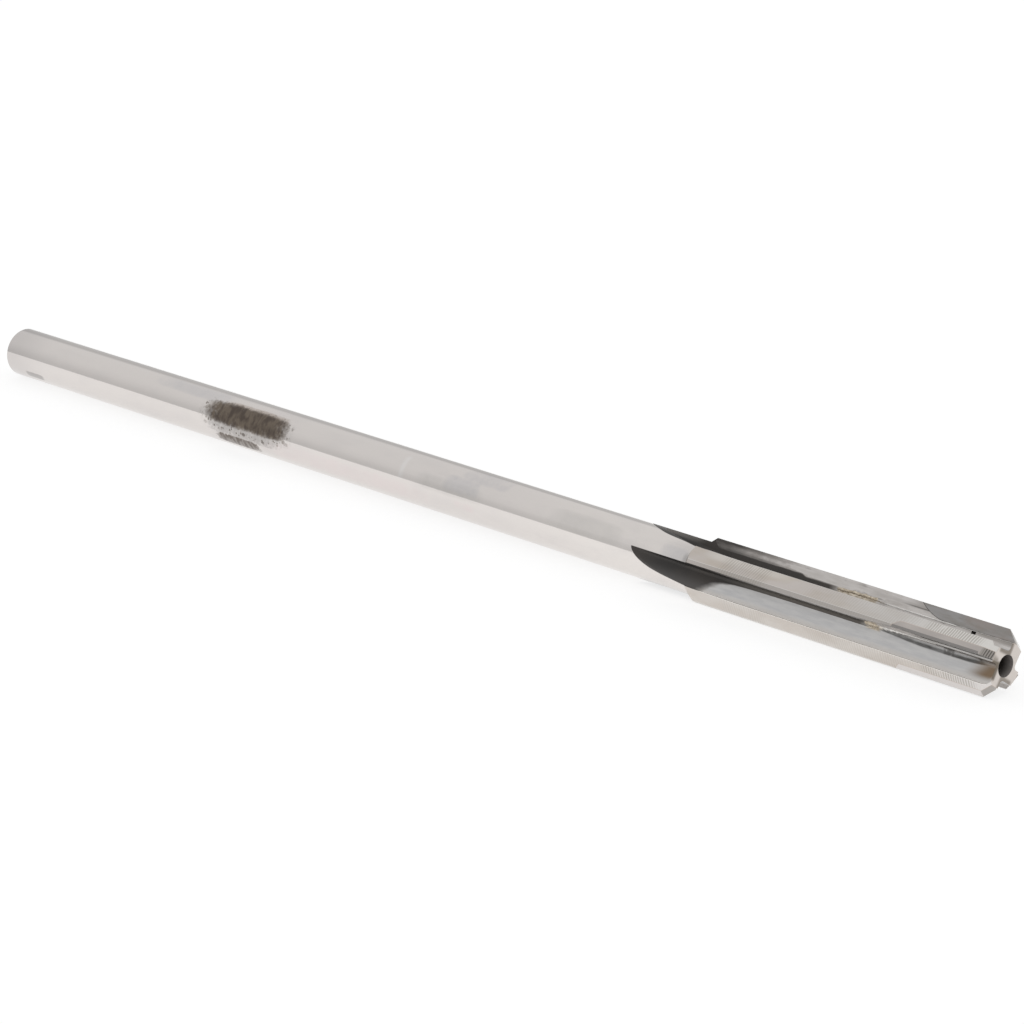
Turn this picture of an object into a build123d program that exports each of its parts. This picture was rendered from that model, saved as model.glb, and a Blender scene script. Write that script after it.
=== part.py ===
from build123d import *
import os
from math import radians, sqrt, tan

# Carbide-tipped machine reamer, right-hand cut, four straight flutes, straight shank.
# Millimetres. +X runs along the axis from the shank's end face to the nose, +Z is up.
# The origin is the centre of the shank's end face. The reamer lies as it rests on a flat
# surface, on its shank and beside the cutting edge of the third tooth.

# Driving dimensions: 6 in long, for a 0.270 in hole, with a 0.2265 in shank
overall_length = 152.4
cutting_diameter = 6.858
shank_diameter = 5.753
head_length = 38.6
coolant_bore_diameter = 2.2

# Where the four rake faces stand round the axis, from +Y towards +Z. They are unequally
# spaced, against chatter.
tooth_angles = [60, 150, 236, 325]

# Blank, turned and ground
shank_end_chamfer = 0.4
shoulder_ramp_length = 0.6

# Teeth. Sizes across a tooth are measured square to its rake face, from the plane
# through the axis that holds the cutting edge.
margin_width = 0.22
land_slope = 34.5
lead_chamfer_length = 1.0
lead_chamfer_angle = 45
lead_chamfer_relief = 21

# Flutes, ground with the rim of a large wheel that lifts out into the shank. They have
# their full depth from a little ahead of the shoulder.
full_depth_from_shoulder = 7.8
flute_floor_height = 1.335
flute_floor_width = 2.3
flute_back_angle = 73
flute_root_radius = 0.45
flute_wheel_radius = 70.0
flute_wheel_arc = 15

# Rake faces: the flute leaves stock on them. It is ground off at the nose, down to a ledge,
# and the grind then runs out backwards.
rake_stock = 0.2
rake_grind_length = 11.5
rake_grind_run_out = 5.0
rake_grind_depth = 1.2

# Brazed-in carbide tips and their joints. A tip's back end is round, as the cutter left
# its pocket; its length is at its foot.
tip_length = 7.9
tip_back_radius = 6.0
tip_depth = 1.18
tip_thickness = 0.75
braze_gap = 0.05

# Drops of braze that ran over the wall from each joint: how far each lies behind the back
# end of its tip, its height from the axis along the wall, and its radius
braze_drops = [
    [(-4.6, 2.16, 0.12), (-3.2, 2.14, 0.14), (-1.8, 2.15, 0.12), (-0.4, 2.13, 0.15), (1.0, 2.15, 0.13),
     (2.4, 2.14, 0.15), (3.6, 2.17, 0.14), (4.5, 2.24, 0.17), (5.2, 2.3, 0.2), (5.9, 2.28, 0.16),
     (6.6, 2.32, 0.22), (7.3, 2.26, 0.19), (8.0, 2.3, 0.21), (8.7, 2.23, 0.17), (9.4, 2.21, 0.2),
     (10.0, 2.19, 0.13)],
    [(-4.6, 2.16, 0.12), (-3.4, 2.14, 0.14), (-2.2, 2.1, 0.15), (-1.4, 2.03, 0.16), (-0.6, 1.95, 0.18),
     (0.2, 1.85, 0.22), (1.0, 1.76, 0.25), (1.7, 1.7, 0.31), (2.3, 1.64, 0.38), (3.0, 1.58, 0.42),
     (3.7, 1.56, 0.44), (4.2, 1.56, 0.32)],
    [(-4.8, 2.16, 0.12), (-4.1, 2.15, 0.15), (-3.4, 2.13, 0.18), (-2.8, 2.1, 0.22), (-2.2, 2.04, 0.18),
     (-1.7, 1.98, 0.13)],
    [(-4.4, 2.16, 0.13), (-3.7, 2.13, 0.16), (-3.1, 2.09, 0.19), (-2.5, 2.04, 0.22), (-1.9, 1.99, 0.17),
     (-1.4, 1.95, 0.12)],
]

# How deep a drop's centre lies in the wall, and how thick the necks between drops are, as
# shares of the drops' radii
drop_sink_share = 0.3
neck_share = 0.8

# Overrun of every cut past the surface that it leaves, and how much further than its
# run-out the rake grind goes, as a share of it
overrun = 1.0
run_out_excess_share = 0.1

# Derived sizes
cutting_radius = cutting_diameter / 2
shank_radius = shank_diameter / 2
bore_radius = coolant_bore_diameter / 2
head_start = overall_length - head_length
flute_full_depth_start = head_start + full_depth_from_shoulder
reach = cutting_radius + overrun
tip_floor = cutting_radius - tip_depth
tip_back = overall_length - tip_length - sqrt(2 * tip_back_radius * tip_depth - tip_depth**2)
teeth = range(len(tooth_angles))


def section_plane(x):
    """The plane square to the axis at x, with its own axes along Y and Z."""
    return Plane(origin=(x, 0, 0), x_dir=(0, 1, 0), z_dir=(1, 0, 0))


def block(x_range, y_range, z_range):
    """A block between the given limits."""
    size = [high - low for low, high in (x_range, y_range, z_range)]
    centre = [(high + low) / 2 for low, high in (x_range, y_range, z_range)]
    return Pos(*centre) * Box(*size)


def make_blank():
    """The turned blank: shank with a chamfered end, shoulder ramp, head, coolant bore right through."""
    ramp_end = head_start + shoulder_ramp_length
    outline = Polyline(
        (0, bore_radius),
        (0, shank_radius - shank_end_chamfer),
        (shank_end_chamfer, shank_radius),
        (head_start, shank_radius),
        (ramp_end, cutting_radius),
        (overall_length, cutting_radius),
        (overall_length, bore_radius),
        close=True,
    )
    return revolve(Plane.XZ * make_face(outline), Axis.X)


# The cutters below are drawn for a tooth whose rake face looks towards -Y, with its cutting
# edge straight above the axis. turned() then brings each to its own tooth.


def turned(shape, tooth):
    """The shape, turned about the axis to a tooth."""
    return Rot(tooth_angles[tooth] - 90, 0, 0) * shape


def flute_section():
    """Section of one flute: wall, rounded root, flat floor, and back that rises to the next heel."""
    height = reach - flute_floor_height
    back_run = height / tan(radians(flute_back_angle))
    root = (-rake_stock, flute_floor_height)
    outline = Polyline(
        (-rake_stock, reach),
        root,
        (-flute_floor_width, flute_floor_height),
        (-flute_floor_width - back_run, reach),
        close=True,
    )
    section = make_face(outline)
    root_corner = section.vertices().sort_by_distance((*root, 0))[0]
    return fillet(root_corner, flute_root_radius)


def flute_cutter():
    """The straight flute from the nose, and the arc in which the wheel leaves the work."""
    section = section_plane(flute_full_depth_start) * flute_section()
    straight = extrude(section, amount=overall_length + overrun - flute_full_depth_start)
    wheel_centre = (flute_full_depth_start, 0, flute_floor_height + flute_wheel_radius)
    run_out = revolve(section, Axis(wheel_centre, (0, 1, 0)), flute_wheel_arc)
    return straight + run_out


def land_cutter():
    """The flat that backs off a land, from the margin down to the heel."""
    margin_height = sqrt(cutting_radius**2 - margin_width**2)
    drop = (reach - margin_width) * tan(radians(land_slope))
    outline = Polyline(
        (margin_width, margin_height),
        (reach, margin_height - drop),
        (reach, reach),
        (margin_width, reach),
        close=True,
    )
    return extrude(section_plane(head_start) * make_face(outline), amount=head_length + overrun)


def rake_cutter():
    """The rake grind: it takes the stock off the outer part of the wall, less and less towards its back end."""
    flat_end = overall_length - rake_grind_length
    slope_end = flat_end - rake_grind_run_out * (1 + run_out_excess_share)
    outline = Polyline(
        (overall_length + overrun, 0),
        (flat_end, 0),
        (slope_end, -rake_stock * (1 + run_out_excess_share)),
        (slope_end, -rake_stock - overrun),
        (overall_length + overrun, -rake_stock - overrun),
        close=True,
    )
    ledge = Plane(origin=(0, 0, cutting_radius - rake_grind_depth))
    return extrude(ledge * make_face(outline), amount=rake_grind_depth + overrun)


def chamfer_cutter():
    """The lead chamfer of one tooth, a flat that falls away behind its cutting edge."""
    outer_end = overall_length - lead_chamfer_length
    along = tan(radians(lead_chamfer_angle))
    behind = tan(radians(lead_chamfer_relief))
    face = Plane(
        origin=(outer_end, 0, cutting_radius),
        x_dir=(0, -1, behind),
        z_dir=(along, behind, 1),
    )
    return extrude(face * Rectangle(4 * reach, 4 * reach), amount=2 * reach)


def tip_space(joint=0):
    """The room that one tip takes, grown by the thickness of its joint behind, below and at its end."""
    radius = tip_back_radius + joint
    foot_start = overall_length - tip_length
    x_range = (foot_start - radius, overall_length + overrun)
    y_range = (-rake_stock - overrun, tip_thickness + joint)
    z_range = (tip_floor - joint, tip_floor + radius + overrun)
    space = block(x_range, y_range, z_range)
    heel = space.edges().filter_by(Axis.Y).group_by(Axis.X)[0].sort_by(Axis.Z)[0]
    return fillet(heel, radius)


def run_of_braze(drops):
    """The braze that ran over the wall: drops, each joined to the next by a tapered neck."""
    run = Part()
    radii = [radius for behind, height, radius in drops]
    centres = [
        (tip_back - behind, radius * drop_sink_share - rake_stock, height)
        for behind, height, radius in drops
    ]
    for centre, radius in zip(centres, radii):
        run += Pos(*centre) * Sphere(radius)
    for start, end, start_radius, end_radius in zip(centres, centres[1:], radii, radii[1:]):
        step = Vector(*end) - Vector(*start)
        neck = Plane(origin=start, z_dir=step)
        run += loft([
            neck * Circle(start_radius * neck_share),
            neck.offset(step.length) * Circle(end_radius * neck_share),
        ])
    return run


def make_ground_blank():
    """The blank with all its flutes, lands, rake faces and chamfers ground."""
    ground = make_blank()
    for tooth in teeth:
        for cutter in (flute_cutter(), land_cutter(), rake_cutter(), chamfer_cutter()):
            ground -= turned(cutter, tooth)
    return ground


def make_tip(ground, tooth):
    """One carbide tip, flush with the ground faces of its tooth."""
    return ground & turned(tip_space(), tooth)


def make_braze(ground, tooth):
    """One braze joint: the layer behind, below and at the end of a tip, and what ran over the wall."""
    layer = (ground & turned(tip_space(braze_gap), tooth)) - turned(tip_space(), tooth)
    run = turned(run_of_braze(braze_drops[tooth]) - rake_cutter(), tooth) - ground
    return layer + run


def make_body(ground):
    """The steel body, with a pocket for each tip and its braze."""
    body = ground
    for tooth in teeth:
        body -= turned(tip_space(braze_gap), tooth)
    return body


def single_solid(shape):
    """The one solid of a shape."""
    return max(shape.solids(), key=lambda solid: solid.volume)


def main():
    os.makedirs("parts", exist_ok=True)
    ground = make_ground_blank()
    parts = {"reamer_body": make_body(ground)}
    for tooth in teeth:
        parts[f"carbide_tip_{tooth + 1}"] = make_tip(ground, tooth)
        parts[f"braze_{tooth + 1}"] = make_braze(ground, tooth)
    for name, shape in parts.items():
        print(name, len(shape.solids()), [round(s.volume, 4) for s in shape.solids()])
        export_step(single_solid(shape), f"parts/{name}.step")


main()
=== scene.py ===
from math import pi, radians, tan

import bpy
from mathutils import Matrix, Vector


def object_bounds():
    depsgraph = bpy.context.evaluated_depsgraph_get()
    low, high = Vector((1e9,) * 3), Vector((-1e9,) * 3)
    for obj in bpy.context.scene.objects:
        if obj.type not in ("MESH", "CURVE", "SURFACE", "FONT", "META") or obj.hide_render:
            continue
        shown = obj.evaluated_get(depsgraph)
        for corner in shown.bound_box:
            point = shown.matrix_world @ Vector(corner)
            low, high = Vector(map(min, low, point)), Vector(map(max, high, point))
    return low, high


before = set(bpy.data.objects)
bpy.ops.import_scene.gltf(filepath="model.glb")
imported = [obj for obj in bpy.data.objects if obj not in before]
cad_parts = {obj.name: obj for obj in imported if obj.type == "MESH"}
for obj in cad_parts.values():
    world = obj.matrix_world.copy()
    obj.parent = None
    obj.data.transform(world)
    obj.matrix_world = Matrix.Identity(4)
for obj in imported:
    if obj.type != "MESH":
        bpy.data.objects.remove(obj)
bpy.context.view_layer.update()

# Places on the reamer are in millimetres along its axis and in degrees round it, from +Y
# towards +Z. A tooth's sector holds its land, its rake face and the flute in front of it.
MM = 0.001
SHOULDER = 113.8
NOSE = 152.4
BORE_RADIUS = 1.1
CUTTING_RADIUS = 3.429
TOOTH_TURNS = (60, 150, 236, 325)
SECTOR_STARTS = (27, 122, 212, 298)
FLUTE_FLOOR = 1.335
FLUTE_WIDTH = 2.3
FLUTE_BACK_SLOPE = tan(radians(73))
WHEEL_RADIUS = 70.0
WHEEL_LIFT = 121.6
RAKE_STOCK = 0.2
RAKE_LEDGE = 2.229
RAKE_RUN_OUT = (141.6, 135.2)
CHAMFER_RIPPLE_PITCH = 0.175
SMUDGE_SQUARENESS = 5.0

STEEL = (0.73, 0.69, 0.665, 1)
LAND_STEEL = (0.60, 0.555, 0.525, 1)
FLUTE_STEEL = (0.56, 0.557, 0.56, 1)
SCALE_BLACK = (0.066, 0.063, 0.061, 1)
SCALE_GREY = (0.13, 0.125, 0.123, 1)
SCALE_BROWN = (0.17, 0.14, 0.12, 1)


class Wiring:
    """Places nodes in one node tree, each wired to what feeds it."""

    def __init__(self, tree):
        self.tree = tree

    def node(self, kind, inputs=None, **settings):
        node = self.tree.nodes.new(kind)
        for name, value in settings.items():
            setattr(node, name, value)
        for name, value in (inputs or {}).items():
            self.feed(node.inputs[name], value)
        return node

    def feed(self, socket, value):
        if isinstance(value, bpy.types.NodeSocket):
            self.tree.links.new(value, socket)
        else:
            socket.default_value = value

    def calc(self, operation, *values):
        node = self.node("ShaderNodeMath", operation=operation)
        for socket, value in zip(node.inputs, values):
            self.feed(socket, value)
        return node.outputs[0]

    def chain(self, operation, first, *others):
        for other in others:
            first = self.calc(operation, first, other)
        return first

    def product(self, *values):
        return self.chain("MULTIPLY", *values)

    def total(self, *values):
        return self.chain("ADD", *values)

    def largest(self, *values):
        return self.chain("MAXIMUM", *values)

    def opposite(self, share):
        return self.calc("SUBTRACT", 1.0, share)

    def rise(self, value, start, end):
        """0 before start, 1 after end, and smooth between. The other way round where end is below start."""
        inputs = {"Value": value, "From Min": start, "From Max": end}
        return self.node("ShaderNodeMapRange", inputs, interpolation_type="SMOOTHSTEP").outputs[0]

    def band(self, value, low, high, soft):
        """1 between low and high, and 0 outside."""
        above_low = self.rise(value, low - soft, low + soft)
        return self.product(above_low, self.rise(value, high + soft, high - soft))

    def coat(self, share, under, over):
        """The second colour laid over the first, as far as the share says."""
        node = self.node("ShaderNodeMix", data_type="RGBA")
        for index, value in ((0, share), (6, under), (7, over)):
            self.feed(node.inputs[index], value)
        return node.outputs[2]

    def between(self, share, low, high):
        """The value that lies between low and high, as far as the share says."""
        node = self.node("ShaderNodeMix", data_type="FLOAT")
        for index, value in ((0, share), (2, low), (3, high)):
            self.feed(node.inputs[index], value)
        return node.outputs[0]

    def stretched(self, at, stretch):
        return self.node("ShaderNodeVectorMath", {0: at, 1: stretch}, operation="MULTIPLY").outputs[0]

    def noise(self, at, size, detail=3.0, roughness=0.55):
        """Cloudy values from 0 to 1, in blotches of about the given size in mm."""
        scale = self.calc("DIVIDE", 1.0, size) if isinstance(size, bpy.types.NodeSocket) else 1 / size
        inputs = {"Vector": at, "Scale": scale, "Detail": detail, "Roughness": roughness}
        return self.node("ShaderNodeTexNoise", inputs).outputs[0]

    def dots(self, at, size, some):
        """1 inside round dots about the given distance apart in mm, of which only some are there."""
        cells = self.node("ShaderNodeTexVoronoi", {"Vector": at, "Scale": 1 / size}).outputs
        chance = self.node("ShaderNodeSeparateColor", {0: cells["Color"]}).outputs[0]
        return self.product(self.rise(cells["Distance"], 0.42, 0.3), self.rise(chance, some, some + 0.05))

    def use(self, group, **inputs):
        """The outputs of a node group, by their names."""
        node = self.node("ShaderNodeGroup", node_tree=group)
        for name, value in inputs.items():
            self.feed(node.inputs[name.replace("_", " ")], value)
        return {socket.name: socket for socket in node.outputs}

    def past_first_tooth(self, turn):
        """0 in the first tooth's sector, and 1 in those of the others."""
        return self.rise(turn, SECTOR_STARTS[1] - 2, SECTOR_STARTS[1])


def effect(name, inputs, outputs):
    """An empty node group with named inputs and outputs: its wiring, its inputs, and where outputs go."""
    group = bpy.data.node_groups.new(name, "ShaderNodeTree")
    for kind, sockets in (("INPUT", inputs), ("OUTPUT", outputs)):
        for socket in sockets:
            socket_type = "NodeSocketVector" if socket == "Place" else "NodeSocketFloat"
            group.interface.new_socket(name=socket, in_out=kind, socket_type=socket_type)
    wiring = Wiring(group)
    given = {socket.name: socket for socket in wiring.node("NodeGroupInput").outputs if socket.name}
    results = wiring.node("NodeGroupOutput").inputs
    return group, wiring, given, results


def make_place_effect():
    """Where a point lies: along the axis, round it, and measured from the rake face of its own tooth."""
    outputs = ("Place", "Along", "Turn", "Radius", "Height", "Ahead")
    group, w, given, results = effect("place on the reamer", (), outputs)
    metres = w.node("ShaderNodeTexCoord").outputs["Object"]
    place = w.stretched(metres, (1 / MM, 1 / MM, 1 / MM))
    along, y, z = w.node("ShaderNodeSeparateXYZ", {0: place}).outputs
    turn = w.product(w.calc("ARCTAN2", z, y), 180 / pi)
    turn = w.calc("MULTIPLY_ADD", w.calc("LESS_THAN", turn, SECTOR_STARTS[0]), 360.0, turn)
    tooth = TOOTH_TURNS[0]
    for last, this, start in zip(TOOTH_TURNS, TOOTH_TURNS[1:], SECTOR_STARTS[1:]):
        passed = w.calc("GREATER_THAN", turn, start)
        tooth = w.calc("MULTIPLY_ADD", passed, float(this - last), tooth)
    from_tooth = w.product(w.calc("SUBTRACT", turn, tooth), pi / 180)
    radius = w.calc("SQRT", w.total(w.calc("POWER", y, 2.0), w.calc("POWER", z, 2.0)))
    height = w.product(radius, w.calc("COSINE", from_tooth))
    ahead = w.product(radius, w.calc("SINE", from_tooth))
    for name, value in zip(outputs, (place, along, turn, radius, height, ahead)):
        w.feed(results[name], value)
    return group


def make_flute_effect():
    """The surfaces that the flutes' wheel and the rake grind left, and those burnt beyond the run-outs."""
    group, w, given, results = effect("ground flute", ("Along", "Turn", "Height", "Ahead"), ("Flute",))
    along, height, ahead = given["Along"], given["Height"], given["Ahead"]
    back_run = w.largest(w.calc("SUBTRACT", WHEEL_LIFT, along), 0.0)
    drop = w.calc("SQRT", w.calc("SUBTRACT", WHEEL_RADIUS**2, w.calc("POWER", back_run, 2.0)))
    floor = w.calc("SUBTRACT", FLUTE_FLOOR + WHEEL_RADIUS, drop)
    above = w.calc("SUBTRACT", height, floor)
    back = w.calc("MULTIPLY_ADD", above, 1 / FLUTE_BACK_SLOPE, FLUTE_WIDTH)
    stock = w.product(w.rise(along, *RAKE_RUN_OUT), RAKE_STOCK)
    off_wall = w.rise(w.calc("SUBTRACT", ahead, stock), -0.03, -0.02)
    above_ledge = w.rise(height, RAKE_LEDGE - 0.02, RAKE_LEDGE - 0.01)
    ground_wall = w.product(off_wall, above_ledge, w.rise(along, 134, 135))
    in_front = w.largest(w.rise(ahead, 0.16, 0.18), ground_wall)
    inside = w.rise(w.calc("SUBTRACT", back, ahead), -0.05, -0.03)
    burnt_depth = w.between(w.past_first_tooth(given["Turn"]), 0.24, 0.12)
    beyond = w.product(burnt_depth, w.rise(along, 112.8, 108.5))
    deep = w.rise(w.total(above, beyond), -0.05, -0.03)
    w.feed(results["Flute"], w.product(in_front, deep, inside))
    return group


def make_scale_effect():
    """Black heat scale: all over the run-outs, and low on the walls as far as the tips."""
    inputs = ("Place", "Along", "Turn", "Height", "Ahead", "Flute")
    group, w, given, results = effect("heat scale", inputs, ("Scale", "Rim"))
    along, height, ahead = given["Along"], given["Height"], given["Ahead"]
    cloud = w.calc("SUBTRACT", w.noise(w.stretched(given["Place"], (0.45, 1, 1)), 0.8), 0.5)

    # In the flute, as far as an edge that runs back across its floor
    off_corner = w.largest(w.calc("SUBTRACT", ahead, 0.55), 0.018)
    end = w.calc("MULTIPLY_ADD", ahead, -1.3, w.total(w.calc("DIVIDE", 0.35, off_corner), 118.3))
    last = w.between(w.past_first_tooth(given["Turn"]), 130.6, 136.6)
    ragged_along = w.calc("MULTIPLY_ADD", cloud, 1.4, along)
    past_end = w.calc("SUBTRACT", ragged_along, w.calc("MINIMUM", end, last))
    top = w.calc("MULTIPLY_ADD", w.rise(along, 113.6, 115.2), -0.95, 3.5)
    top = w.calc("MULTIPLY_ADD", w.rise(along, 126.0, 126.8), -0.2, top)
    over_top = w.calc("SUBTRACT", w.calc("MULTIPLY_ADD", cloud, 0.12, height), top)
    scale = w.product(given["Flute"], w.rise(past_end, 0.8, -0.8), w.rise(over_top, 0.09, -0.09))

    # On the upper wall, where it fades towards the nose, with a paler band
    limits = {"Value": along, "From Min": 114.6, "From Max": 126.2, "To Min": 0.92, "To Max": -0.03}
    fading = w.node("ShaderNodeMapRange", limits).outputs[0]
    near_top = w.product(w.rise(height, 3.1, 3.3), w.rise(along, 123.5, 118), 0.3)
    low_down = w.product(w.rise(height, 2.75, 2.5), w.rise(along, 124, 117), 0.12)
    paler = w.product(w.band(height, 2.7, 3.06, 0.1), w.rise(along, 114.5, 118.5), -0.22)
    fading = w.total(fading, low_down, w.total(near_top, paler))
    upper = w.calc("MINIMUM", w.calc("MULTIPLY_ADD", cloud, 0.9, fading), 0.96)
    wall = w.product(given["Flute"], w.rise(ahead, 0.45, 0.3), w.rise(along, 142, 136))
    scale = w.largest(scale, w.product(wall, w.largest(upper, 0.0)))

    w.feed(results["Scale"], scale)
    w.feed(results["Rim"], w.product(scale, w.opposite(scale), 1.6))
    return group


def make_chatter_effect():
    """Even ripples across a land, where the grinding wheel chattered."""
    inputs = ("Place", "Along", "From", "To", "Pitch")
    group, w, given, results = effect("chatter marks", inputs, ("Ripple",))
    wander = w.product(w.noise(given["Place"], 2.5, 1.0), given["Pitch"])
    phase = w.calc("DIVIDE", w.calc("MULTIPLY_ADD", wander, 1.5, given["Along"]), given["Pitch"])
    wave = w.calc("MULTIPLY_ADD", w.calc("SINE", w.product(phase, 2 * pi)), 0.5, 0.5)
    start, end = given["From"], given["To"]
    fade = w.product(w.calc("SUBTRACT", end, start), 0.2)
    fade_in = w.rise(given["Along"], start, w.total(start, fade))
    fade_out = w.rise(given["Along"], end, w.calc("SUBTRACT", end, fade))
    patchy = w.rise(w.noise(given["Place"], 1.6, 2.0), 0.15, 0.45)
    w.feed(results["Ripple"], w.product(wave, fade_in, fade_out, patchy))
    return group


def make_smudge_effect():
    """A patch with a cloudy, ragged edge, round a place given along and round the reamer."""
    inputs = (
        "Place", "Along", "Turn", "Centre along", "Centre turn", "Half length", "Half turn", "Cloud size",
        "Ragged", "Softness",
    )
    group, w, given, results = effect("smudge", inputs, ("Smudge",))
    aside = w.calc("DIVIDE", w.calc("SUBTRACT", given["Along"], given["Centre along"]), given["Half length"])
    around = w.calc("DIVIDE", w.calc("SUBTRACT", given["Turn"], given["Centre turn"]), given["Half turn"])
    out = w.total(*(w.calc("POWER", w.calc("ABSOLUTE", part), SMUDGE_SQUARENESS) for part in (aside, around)))
    cloud = w.noise(given["Place"], given["Cloud size"], 4.0, 0.65)
    out = w.calc("MULTIPLY_ADD", w.calc("SUBTRACT", cloud, 0.5), given["Ragged"], out)
    w.feed(results["Smudge"], w.rise(out, 1.3, w.calc("SUBTRACT", 0.9, given["Softness"])))
    return group


def make_grinding_effect():
    """Fine grinding lines that run round the reamer, and the faint clouds of handled steel."""
    group, w, given, results = effect("grinding lines", ("Place", "Line spacing"), ("Lines", "Clouds"))
    across = w.stretched(given["Place"], (1, 0.04, 0.04))
    w.feed(results["Lines"], w.noise(across, given["Line spacing"], 2.0, 0.7))
    w.feed(results["Clouds"], w.noise(w.stretched(given["Place"], (0.35, 1, 1)), 2.2))
    return group


class Finish(Wiring):
    """One material, wired from where each of its points lies on the reamer."""

    def __init__(self, name, effects, line_spacing=None):
        self.material = bpy.data.materials.new(name)
        self.material.use_nodes = True
        super().__init__(self.material.node_tree)
        self.effects = effects
        at = self.use(effects["place"])
        self.place, self.along, self.turn = at["Place"], at["Along"], at["Turn"]
        self.radius, self.height, self.ahead = at["Radius"], at["Height"], at["Ahead"]
        if line_spacing:
            grinding = self.use(effects["grinding"], Place=self.place, Line_spacing=line_spacing)
            self.lines, self.clouds = grinding["Lines"], grinding["Clouds"]

    def smudge(self, along, turn, half_length, half_turn, cloud_size, ragged, softness=0.0):
        """1 inside a cloudy patch round one place, and 0 outside."""
        return self.use(
            self.effects["smudge"], Place=self.place, Along=self.along, Turn=self.turn, Centre_along=along,
            Centre_turn=turn, Half_length=half_length, Half_turn=half_turn, Cloud_size=cloud_size,
            Ragged=ragged, Softness=softness,
        )["Smudge"]

    def marked(self, under, colour, strength, *smudges):
        """The colour below, with smudges of another laid over it."""
        share = self.largest(*(self.smudge(*sizes) for sizes in smudges))
        return self.coat(self.product(share, strength), under, colour)

    def chatter(self, start, end, pitch):
        """Ripples between two places along the reamer."""
        group = self.effects["chatter"]
        ripple = self.use(group, Place=self.place, Along=self.along, From=start, To=end, Pitch=pitch)
        return ripple["Ripple"]

    def at_full_radius(self):
        """1 on the round margins behind the cutting edges."""
        return self.rise(self.radius, CUTTING_RADIUS - 0.019, CUTTING_RADIUS - 0.009)

    def third_land(self):
        """1 on the third tooth's land, which faces the table."""
        return self.product(self.rise(self.turn, 196, 204), self.rise(self.turn, 246, 240))

    def wire(self, colour, metallic, roughness, relief, relief_strength, relief_depth):
        """Feeds the shader. The relief's depth is in metres."""
        inputs = {"Height": relief, "Strength": relief_strength, "Distance": relief_depth}
        normal = self.node("ShaderNodeBump", inputs).outputs[0]
        shader = self.tree.nodes["Principled BSDF"]
        values = {"Base Color": colour, "Metallic": metallic, "Roughness": roughness, "Normal": normal}
        for name, value in values.items():
            self.feed(shader.inputs[name], value)
        return self.material


def shank_colour(w):
    """Polished steel, a little paler near the head, with faint marks of handling and heat."""
    along, turn, clouds = w.along, w.turn, w.clouds
    steel = w.coat(w.rise(along, 84, 108), STEEL, (0.77, 0.73, 0.70, 1))
    # Painted shade towards the shank's end
    steel = w.coat(w.product(w.rise(along, 9, 1), 0.6), steel, (0.58, 0.55, 0.54, 1))
    before_head = w.product(w.rise(along, 109.5, 113.7), w.band(turn, 112, 158, 10), 0.5)
    steel = w.coat(before_head, steel, (0.54, 0.515, 0.50, 1))
    steel = w.coat(w.product(w.rise(clouds, 0.45, 0.75), 0.5), steel, (0.68, 0.645, 0.63, 1))

    # Two dull marks, then four bluish ones, each with its place along and round, its half
    # length and half turn, the size of its clouds, and how ragged and soft its edge is
    dulled = (79.0, 156, 5.4, 18, 3.2, 2.6, 2.0), (99.4, 144, 5.4, 24, 4.0, 2.2, 2.0)
    steel = w.marked(steel, (0.50, 0.485, 0.465, 1), 0.5, *dulled)
    bluish = (80.8, 143, 2.8, 20, 2.0, 3.2, 1.9), (83.8, 109, 3.6, 22, 2.0, 3.2, 1.9)
    steel = w.marked(steel, (0.52, 0.515, 0.54, 1), 0.6, *bluish)
    bluish = (35, 116, 7, 18, 2.5, 2.0, 1.6), (112, 146, 2.0, 20, 1.5, 1.4, 1.6)
    steel = w.marked(steel, (0.50, 0.50, 0.525, 1), 0.45, *bluish)

    # A bright streak, a dark mark near the end, and two rosy ones
    streak = w.product(w.band(along, 71.25, 71.85, 0.3), w.band(turn, 114, 166, 7), 0.5)
    steel = w.coat(streak, steel, (0.80, 0.785, 0.775, 1))
    steel = w.marked(steel, (0.40, 0.38, 0.37, 1), 0.9, (5.4, 212, 1.8, 9, 0.8, 1.5, 1.0))
    rosy = (81.8, 186, 1.6, 9, 1.0, 3.0, 1.6), (62, 195, 14, 22, 1.5, 3.0, 1.6)
    return w.marked(steel, (0.74, 0.63, 0.63, 1), 0.35, *rosy)


def lay_patches(w, steel):
    """A burnt patch on the shank, with a soiled rim and specks round it, and fainter ones beside it."""
    place = w.place
    steel = w.marked(steel, (0.44, 0.425, 0.41, 1), 0.55, (45.4, 156, 7.9, 34, 0.8, 2.6, 1.4))
    steel = w.marked(steel, (0.30, 0.285, 0.275, 1), 0.6, (45.0, 183, 6.3, 17, 0.5, 2.8, 1.2))
    steel = w.marked(steel, (0.40, 0.33, 0.28, 1), 0.75, (46.6, 128, 5.6, 14, 0.8, 1.8, 1.3))
    gaps = w.rise(w.noise(w.stretched(place, (1.2, 0.4, 0.4)), 0.5, 2.0), 0.35, 0.6)
    broken = w.between(gaps, 0.7, 1.0)
    steel = w.marked(steel, (0.15, 0.124, 0.105, 1), broken, (43.9, 210.5, 3.8, 14, 0.4, 2.8, 0.6))
    specks = w.largest(w.dots(place, 0.38, 0.45), w.dots(w.stretched(place, (0.7, 1, 1)), 0.6, 0.5))
    halo = w.product(w.smudge(45.5, 155, 7.7, 38, 0.9, 2.6, 0.6), specks, 0.7)
    burnt = w.largest(w.smudge(45.5, 148.5, 7.1, 28, 0.6, 1.6, 0.75), halo)
    clouded = w.rise(w.noise(w.stretched(place, (1.3, 0.7, 0.7)), 0.9, 2.5), 0.35, 0.62)
    mottled = w.coat(clouded, (0.11, 0.088, 0.074, 1), (0.19, 0.156, 0.124, 1))
    return w.coat(burnt, steel, mottled), burnt


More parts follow.
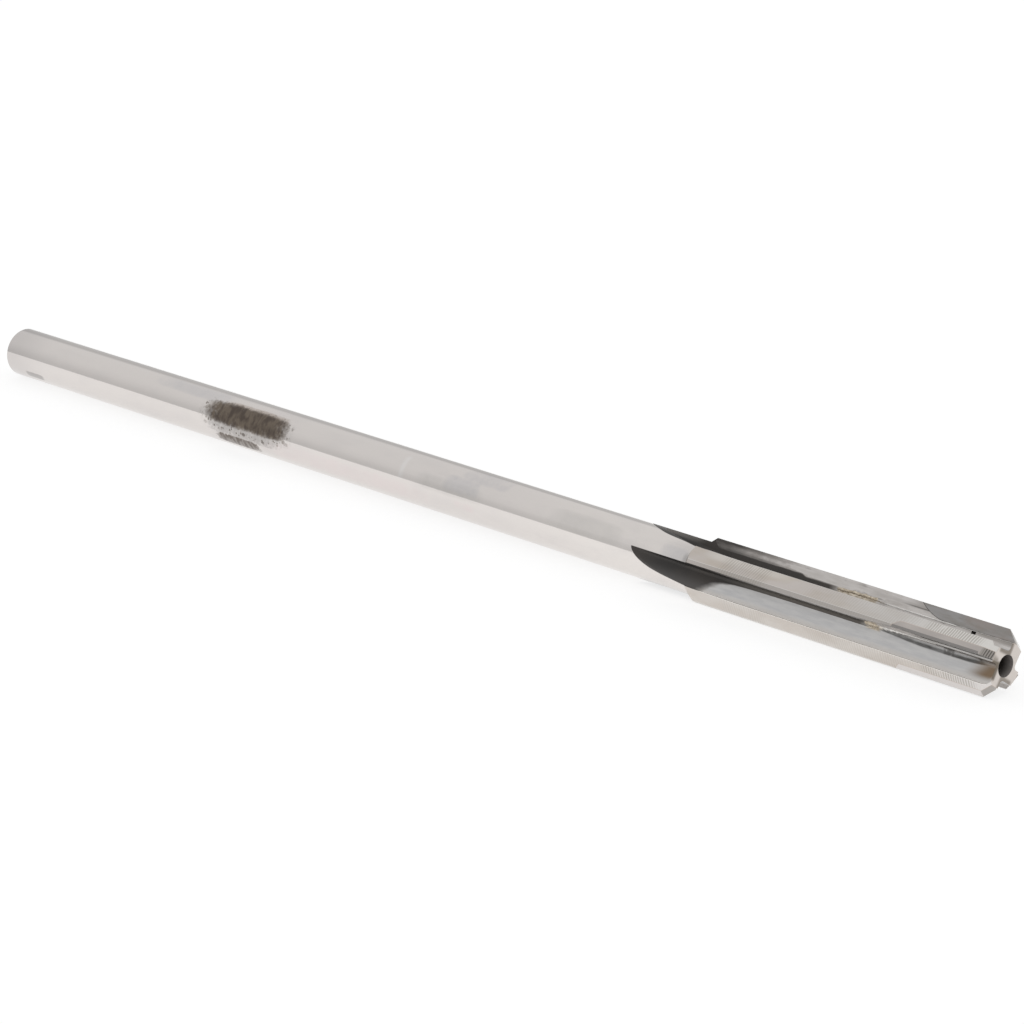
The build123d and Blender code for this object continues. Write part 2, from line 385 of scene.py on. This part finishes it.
def land_colour(w, ripple, on_head):
    """The head's lands: warmer than the shank, paler near the nose, and rippled."""
    along, turn, radius, ahead = w.along, w.turn, w.radius, w.ahead
    cloudy = w.rise(w.clouds, 0.35, 0.65)
    warm = w.coat(cloudy, LAND_STEEL, (0.56, 0.505, 0.45, 1))
    cool = w.coat(cloudy, (0.65, 0.63, 0.61, 1), (0.61, 0.58, 0.55, 1))
    land = w.coat(w.rise(along, 130, 141), warm, cool)
    land = w.coat(w.rise(along, 141, 147), land, (0.76, 0.74, 0.71, 1))
    bright_heel = w.product(w.rise(along, 115, 117.5), w.rise(along, 129, 124), w.rise(turn, 136, 124))
    land = w.coat(w.product(bright_heel, 0.7), land, (0.70, 0.665, 0.62, 1))
    # Painted reflection of the white table: the third land, which faces it, is paler, and palest near the
    # nose
    table_facing_land = w.third_land()
    table_lit_colour = w.coat(cloudy, (0.68, 0.64, 0.60, 1), (0.62, 0.57, 0.525, 1))
    land = w.coat(table_facing_land, land, table_lit_colour)
    land = w.coat(w.product(table_facing_land, w.rise(along, 145, 150)), land, (0.73, 0.70, 0.68, 1))
    margin = w.product(w.at_full_radius(), w.rise(w.calc("ABSOLUTE", ahead), 0.26, 0.22))
    margin = w.product(margin, w.rise(along, 110, 121), w.rise(turn, 200, 190))
    land = w.coat(margin, land, (0.47, 0.44, 0.415, 1))
    behind_margin = w.product(w.band(ahead, -0.27, -0.215, 0.02), w.rise(radius, 3.36, 3.39), on_head)
    land = w.coat(w.product(behind_margin, 0.7), land, (0.76, 0.74, 0.72, 1))
    return w.coat(w.product(ripple, 0.75), land, (0.38, 0.35, 0.31, 1))


def flute_colour(w):
    """The ground flutes: bluish grey, darker low in the corner, stained by braze and near the nose."""
    place, along, turn, height, ahead = w.place, w.along, w.turn, w.height, w.ahead
    past_first = w.past_first_tooth(turn)
    streaks = w.rise(w.noise(w.stretched(place, (0.22, 1.5, 1.5)), 0.5), 0.3, 0.7)
    steel = w.coat(streaks, FLUTE_STEEL, (0.64, 0.632, 0.625, 1))
    steel = w.coat(w.product(w.rise(ahead, 1.7, 2.2), 0.7), steel, (0.64, 0.605, 0.57, 1))
    wall = w.rise(ahead, 0.34, 0.26)
    wall_steel = w.coat(streaks, (0.56, 0.53, 0.505, 1), (0.66, 0.63, 0.61, 1))
    steel = w.coat(wall, steel, wall_steel)

    # Painted shade low in the corner, from where the scale ends to the nose, with darker patches in it
    corner_width = w.product(w.rise(along, 137.5, 144), w.rise(along, 153, 149))
    past_corner = w.calc("SUBTRACT", ahead, w.calc("MULTIPLY_ADD", corner_width, 0.29, 0.5))
    corner = w.product(w.rise(past_corner, 0.08, -0.06), w.rise(height, 2.15, 1.9))
    corner = w.product(corner, w.rise(along, 136.6, 138.2), past_first)
    dull = w.rise(w.noise(w.stretched(place, (0.3, 1.0, 1.0)), 0.7), 0.35, 0.62)
    darker_down = w.product(w.rise(past_corner, -0.62, -0.22), w.between(dull, 0.75, 1.0))
    darker_down = w.product(darker_down, w.between(w.rise(along, 150.6, 151.8), 1.0, 0.6))
    steel = w.coat(w.product(corner, darker_down), steel, (0.10, 0.097, 0.093, 1))
    patches = w.largest(w.band(along, 146.2, 147.5, 0.15), w.band(along, 150.4, 150.8, 0.12))
    patches = w.product(patches, w.rise(w.noise(place, 0.35, 2.0), 0.3, 0.5), corner, 0.75)
    steel = w.coat(patches, steel, (0.11, 0.105, 0.10, 1))

    # Straw-coloured flux round the braze that ran
    past_start = w.calc("SUBTRACT", along, w.between(past_first, 130.9, 136.6))
    to_end = w.calc("SUBTRACT", w.between(past_first, 135.8, 138.3), along)
    stained = w.product(w.rise(past_start, -0.3, 0.3), w.rise(to_end, -0.3, 0.3))
    stained = w.product(stained, w.rise(ahead, 0.75, 0.6), w.rise(height, 2.45, 2.3), 0.9)
    lumps = w.rise(w.noise(w.stretched(place, (0.6, 1, 1)), 0.3, 2.0), 0.35, 0.62)
    straw = w.coat(lumps, (0.38, 0.32, 0.24, 1), (0.72, 0.645, 0.54, 1))
    steel = w.coat(stained, steel, straw)

    # Greyer on the wall behind the tips, with a painted shadow line along the rake grind's ledge, a dark
    # spot, and dark lines under the tips
    greyer_band = w.product(w.band(height, 2.72, 3.06, 0.12), w.rise(along, 133, 137), wall, 0.25)
    by_tip = w.product(w.rise(along, 138.5, 141.5), w.rise(height, 2.7, 3.0), wall, 0.5)
    for share in (greyer_band, by_tip):
        steel = w.coat(share, steel, (0.30, 0.28, 0.265, 1))
    beside_tip = w.product(w.rise(along, 138.2, 140.6), w.rise(along, 142.6, 142.0))
    # Painted shadow of the ledge, where it runs out beside the first tip
    ledge_shadow_and_spot = w.product(w.band(height, 2.74, 2.85, 0.08), beside_tip)
    spot = w.product(w.band(height, 2.39, 2.49, 0.08), w.band(along, 135.7, 136.4, 0.35), 0.8)
    ledge_shadow_and_spot = w.product(w.largest(ledge_shadow_and_spot, spot), wall, w.opposite(past_first))
    steel = w.coat(ledge_shadow_and_spot, steel, (0.16, 0.15, 0.14, 1))
    under_tip = w.product(w.band(height, 2.14, 2.3, 0.06), w.rise(along, 142.5, 146.5), wall)
    steel = w.coat(w.product(under_tip, w.between(dull, 0.4, 0.8)), steel, (0.13, 0.12, 0.11, 1))
    browned = w.product(w.band(height, 1.9, 2.35, 0.1), w.rise(along, 145.5, 149.5), wall, 0.5)
    steel = w.coat(browned, steel, (0.24, 0.215, 0.19, 1))

    # A painted highlight on the backs of the flutes past the first, and a brown stain that slants across the
    # second flute at the nose
    back = w.product(w.rise(ahead, FLUTE_WIDTH - 0.02, FLUTE_WIDTH + 0.01), past_first)
    steel = w.coat(back, steel, (0.95, 0.92, 0.89, 1))
    slanted = w.calc("MULTIPLY_ADD", w.calc("SUBTRACT", ahead, 0.6), 0.8, along)
    stain = w.product(w.rise(slanted, 149.6, 152.3), w.rise(slanted, 153.8, 152.8))
    in_second = w.band(turn, SECTOR_STARTS[1], SECTOR_STARTS[2], 1)
    stain = w.product(stain, w.band(ahead, 0.4, 1.8, 0.35), w.rise(height, 2.2, 1.6), in_second, 0.9)
    return w.coat(stain, steel, (0.21, 0.135, 0.07, 1))


def scale_colour(w):
    """Heat scale: black in the corner, greyer towards the flute's back, thin at its ends."""
    along, past_first = w.along, w.past_first_tooth(w.turn)
    black = w.coat(w.rise(w.ahead, 0.9, 2.3), SCALE_BLACK, SCALE_GREY)
    thin = w.product(w.rise(along, 113.6, 111.4), w.rise(w.height, 2.2, 2.8), w.opposite(past_first))
    black = w.coat(thin, black, (0.21, 0.20, 0.19, 1))
    worn = w.product(w.rise(along, 117, 123), w.between(past_first, 0.25, 0.9))
    black = w.coat(worn, black, (0.125, 0.115, 0.104, 1))
    return w.coat(w.product(w.rise(w.clouds, 0.4, 0.65), 0.15), black, SCALE_BROWN)


def nose_colour(w):
    """The nose face: pale, and dark brown beside the floors of three flutes."""
    turn, radius = w.turn, w.radius
    before_fourth = w.rise(turn, SECTOR_STARTS[3], SECTOR_STARTS[3] - 2)
    by_floor = w.product(w.rise(w.height, 0.8, 1.15), w.band(w.ahead, -0.1, 1.75, 0.2), before_fourth)
    past_second = w.rise(turn, SECTOR_STARTS[2] - 1, SECTOR_STARTS[2] + 1)
    by_floor = w.product(by_floor, w.between(w.past_first_tooth(turn), 0.7, 0.85))
    by_floor = w.product(by_floor, w.between(past_second, 1.0, 0.75))
    at_corner = w.product(w.band(turn, 138, 158, 8), w.rise(radius, 1.35, 1.6), w.rise(radius, 2.6, 2.2))
    browned = w.largest(by_floor, w.product(at_corner, 0.55))
    return w.coat(browned, (0.66, 0.61, 0.57, 1), (0.11, 0.085, 0.055, 1))


def make_steel(effects):
    """The steel body: polished shank, ground lands, grey flutes with black scale, bore and end faces."""
    w = Finish("ground steel", effects, line_spacing=0.09)
    along, turn = w.along, w.turn
    where = {"Along": along, "Turn": turn, "Height": w.height, "Ahead": w.ahead}
    flute = w.use(effects["flute"], **where)["Flute"]
    scale, scale_rim = w.use(effects["scale"], Place=w.place, Flute=flute, **where).values()

    # Ripples on the lands: strong behind the shoulder and near the nose, faint between
    on_head = w.rise(along, SHOULDER - 0.1, SHOULDER + 0.3)
    far_ripple = w.product(w.chatter(117.8, 125.2, 0.32), w.between(w.rise(turn, 198, 202), 0.8, 0.3))
    near_ripple = w.chatter(143.5, 151.6, 0.3)
    faint_ripple = w.product(w.chatter(128.0, 146.0, 0.31), 0.35)
    ripple = w.product(w.largest(far_ripple, near_ripple, faint_ripple), w.opposite(flute), on_head)

    steel, burnt = lay_patches(w, shank_colour(w))
    steel = w.coat(on_head, steel, land_colour(w, ripple, on_head))
    # Painted shade where the lands ramp up at the shoulder
    shoulder_ramp_shade = w.product(w.band(along, SHOULDER - 0.45, SHOULDER + 0.3, 0.25), w.band(turn, 136, 158, 8))
    steel = w.coat(w.product(shoulder_ramp_shade, 0.6), steel, (0.33, 0.32, 0.315, 1))
    steel = w.coat(flute, steel, flute_colour(w))
    steel = w.coat(w.calc("MINIMUM", scale_rim, 1.0), steel, SCALE_BROWN)
    steel = w.coat(scale, steel, scale_colour(w))

    # End faces, bore, and the void in the joint of the first tip
    nose_face = w.rise(along, NOSE - 0.05, NOSE - 0.02)
    steel = w.coat(nose_face, steel, nose_colour(w))
    steel = w.coat(w.rise(along, 0.5, 0.3), steel, (0.58, 0.56, 0.55, 1))
    # Painted shade in the bore: near black deep inside, lighter towards the mouth
    bore = w.rise(w.radius, BORE_RADIUS + 0.03, BORE_RADIUS + 0.01)
    bore_shading = w.coat(w.rise(along, NOSE - 1.5, NOSE), (0.05, 0.044, 0.038, 1), (0.31, 0.285, 0.27, 1))
    steel = w.coat(bore, steel, bore_shading)
    # Painted shade: the void in the first tip's joint is a near-black patch
    void = w.product(w.smudge(147.8, 65, 0.27, 2.1, 0.3, 0.8, 0.4), flute)
    steel = w.coat(void, steel, (0.01, 0.009, 0.008, 1))

    roughness = w.between(w.clouds, 0.06, 0.13)
    lands = w.between(w.clouds, 0.24, 0.34)
    for share, value in ((on_head, lands), (flute, 0.38), (burnt, 0.5), (nose_face, 0.4), (scale, 0.55)):
        roughness = w.between(share, roughness, value)
    relief = w.product(w.lines, w.between(on_head, 0.15, 1.0))
    relief = w.calc("SUBTRACT", relief, w.product(ripple, 1.6))
    relief = w.calc("MULTIPLY_ADD", w.product(scale, w.noise(w.place, 0.15, 2.0)), 3.0, relief)
    return w.wire(steel, w.opposite(bore), roughness, relief, relief_strength=0.5, relief_depth=0.004 * MM)


def make_carbide(effects):
    """The carbide tips: mid grey on the rake face, paler and rosier on the land, rippled at the chamfer."""
    w = Finish("ground carbide", effects, line_spacing=0.07)
    place, along, turn, ahead = w.place, w.along, w.turn, w.ahead
    streaks = w.noise(w.stretched(place, (0.25, 1.4, 1.4)), 0.45)
    face = w.coat(w.rise(streaks, 0.35, 0.65), (0.30, 0.285, 0.27, 1), (0.35, 0.34, 0.335, 1))
    face = w.coat(w.product(w.rise(w.clouds, 0.5, 0.7), 0.4), face, (0.33, 0.265, 0.23, 1))
    land = w.coat(w.rise(w.clouds, 0.3, 0.7), (0.53, 0.49, 0.46, 1), (0.45, 0.415, 0.395, 1))
    margin = w.product(w.at_full_radius(), w.rise(ahead, 0.0, -0.01))
    land = w.coat(margin, land, (0.28, 0.265, 0.255, 1))
    # Painted reflection of the white table: the third land, which faces it, is paler
    land = w.coat(w.third_land(), land, (0.71, 0.675, 0.655, 1))
    chamfer = w.product(w.rise(along, NOSE - 0.98, NOSE - 0.9), 0.8)
    land = w.coat(chamfer, land, (0.36, 0.335, 0.31, 1))
    ripple = w.rise(w.calc("SINE", w.product(along, 2 * pi / CHAMFER_RIPPLE_PITCH)), -0.6, 0.8)
    ripple = w.product(ripple, w.rise(along, NOSE - 0.82, NOSE - 0.76))
    ripple = w.product(ripple, w.rise(turn, 154, 152), w.rise(turn, 110, 112))
    land = w.coat(w.product(ripple, 0.85), land, (0.085, 0.08, 0.073, 1))
    rake = w.rise(ahead, -0.02, -0.005)
    colour = w.coat(rake, land, face)
    # Painted shadow of the rake grind's ledge, in a cloudy band along the foot of each rake face
    by_foot = w.rise(w.height, RAKE_LEDGE + 0.14, RAKE_LEDGE + 0.02)
    foot_shade = w.product(by_foot, w.rise(w.noise(place, 0.8), 0.4, 0.6), rake, 0.75)
    colour = w.coat(foot_shade, colour, (0.07, 0.065, 0.06, 1))
    relief = w.calc("SUBTRACT", w.lines, w.product(ripple, 1.5))
    roughness = w.between(streaks, 0.28, 0.4)
    return w.wire(colour, 1, roughness, relief, relief_strength=0.5, relief_depth=0.003 * MM)


def make_braze(effects):
    """The brazing alloy: pale where it is ground flush, dull straw yellow and lumpy where it ran."""
    w = Finish("brazing alloy", effects)
    place, along, ahead = w.place, w.along, w.ahead
    lumps = w.noise(place, 0.25)
    straw = w.coat(w.rise(lumps, 0.35, 0.65), (0.46, 0.39, 0.30, 1), (0.78, 0.70, 0.58, 1))
    burnt = w.rise(w.noise(place, 0.5, 2.0), 0.5, 0.66)
    straw = w.coat(w.product(burnt, 0.45), straw, (0.12, 0.095, 0.07, 1))
    flush = w.largest(w.rise(ahead, 0.0, -0.03), w.rise(along, NOSE - 0.06, NOSE - 0.02))
    colour = w.coat(flush, straw, (0.62, 0.545, 0.49, 1))
    past_drops = w.calc("SUBTRACT", along, w.between(w.past_first_tooth(w.turn), 136.2, 138.5))
    ground_joint = w.product(w.opposite(flush), w.rise(past_drops, -0.5, 0.9))
    cloudy = w.noise(w.stretched(place, (0.35, 1, 1)), 0.8, 2.0)
    grey = w.coat(w.rise(cloudy, 0.4, 0.65), (0.82, 0.80, 0.78, 1), (0.66, 0.645, 0.625, 1))
    colour = w.coat(w.product(ground_joint, 0.95), colour, grey)
    dark_line = w.product(w.rise(ahead, 0.05, 0.03), w.rise(ahead, -0.03, -0.01), ground_joint)
    colour = w.coat(dark_line, colour, (0.08, 0.075, 0.07, 1))
    relief = w.product(lumps, w.between(ground_joint, 1.0, 0.1))
    roughness = w.between(lumps, 0.35, 0.6)
    return w.wire(colour, 1, roughness, relief, relief_strength=0.6, relief_depth=0.03 * MM)


def make_camera():
    """A long lens, a little above the reamer and off its nose."""
    data = bpy.data.cameras.new("camera")
    data.sensor_width = 36.0
    data.lens = 124.9
    data.clip_start = 0.01
    data.clip_end = 20.0
    camera = bpy.data.objects.new("camera", data)
    bpy.context.scene.collection.objects.link(camera)
    position = Vector((343.92, -247.29, 115.55)) * MM
    right = Vector((0.69231, 0.72160, 0.0))
    up = Vector((-0.22293, 0.21388, 0.95108))
    turn = Matrix((right, up, right.cross(up))).transposed()
    camera.matrix_world = Matrix.Translation(position) @ turn.to_4x4()
    bpy.context.scene.camera = camera


def make_studio():
    """Soft light from all round, dimmer low down on the far side, against white."""
    world = bpy.data.worlds.new("studio")
    bpy.context.scene.world = world
    world.use_nodes = True
    world.node_tree.nodes.clear()
    w = Wiring(world.node_tree)
    direction = w.node("ShaderNodeTexCoord").outputs["Generated"]
    y, z = w.node("ShaderNodeSeparateXYZ", {0: direction}).outputs[1:]
    overhead = w.between(w.rise(z, 0.0, 0.6), 0.66, 0.80)
    far_side = w.product(w.rise(y, 0.2, 0.5), w.rise(z, 0.5, 0.4))
    room = w.node("ShaderNodeBackground", {"Color": w.between(far_side, overhead, 0.57)})
    white = w.node("ShaderNodeBackground", {"Color": (1, 1, 1, 1)})
    seen = w.node("ShaderNodeLightPath").outputs["Is Camera Ray"]
    mix = w.node("ShaderNodeMixShader", {0: seen, 1: room.outputs[0], 2: white.outputs[0]})
    w.node("ShaderNodeOutputWorld", {"Surface": mix.outputs[0]})


def make_floor():
    """A white table that looks white to the camera and in the steel, and keeps a faint shadow."""
    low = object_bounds()[0].z
    bpy.ops.object.select_all(action="DESELECT")
    bpy.ops.mesh.primitive_plane_add(size=6.0, location=(0, 0, low))
    floor = bpy.context.active_object
    floor.name = "floor"
    material = bpy.data.materials.new("white table")
    material.use_nodes = True
    material.node_tree.nodes.clear()
    w = Wiring(material.node_tree)
    path = w.node("ShaderNodeLightPath").outputs
    seen = w.largest(path["Is Camera Ray"], path["Is Glossy Ray"], path["Is Transmission Ray"])
    paper = w.node("ShaderNodeBsdfDiffuse", {"Color": (0.8, 0.8, 0.8, 1)})
    shaded = w.node("ShaderNodeBsdfDiffuse", {"Color": (0.33, 0.33, 0.33, 1)})
    glow = w.node("ShaderNodeEmission", {"Color": (0.76, 0.76, 0.76, 1)})
    white = w.node("ShaderNodeAddShader", {0: shaded.outputs[0], 1: glow.outputs[0]})
    mix = w.node("ShaderNodeMixShader", {0: seen, 1: paper.outputs[0], 2: white.outputs[0]})
    w.node("ShaderNodeOutputMaterial", {"Surface": mix.outputs[0]})
    floor.data.materials.append(material)


effects = {
    "place": make_place_effect(),
    "flute": make_flute_effect(),
    "scale": make_scale_effect(),
    "chatter": make_chatter_effect(),
    "smudge": make_smudge_effect(),
    "grinding": make_grinding_effect(),
}
finishes = {"reamer": make_steel(effects), "carbide": make_carbide(effects), "braze": make_braze(effects)}
for name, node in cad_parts.items():
    node.material_slots[0].material = finishes[name.split("_")[0]]
make_camera()
make_studio()
make_floor()
bpy.context.scene.view_settings.view_transform = "Standard"
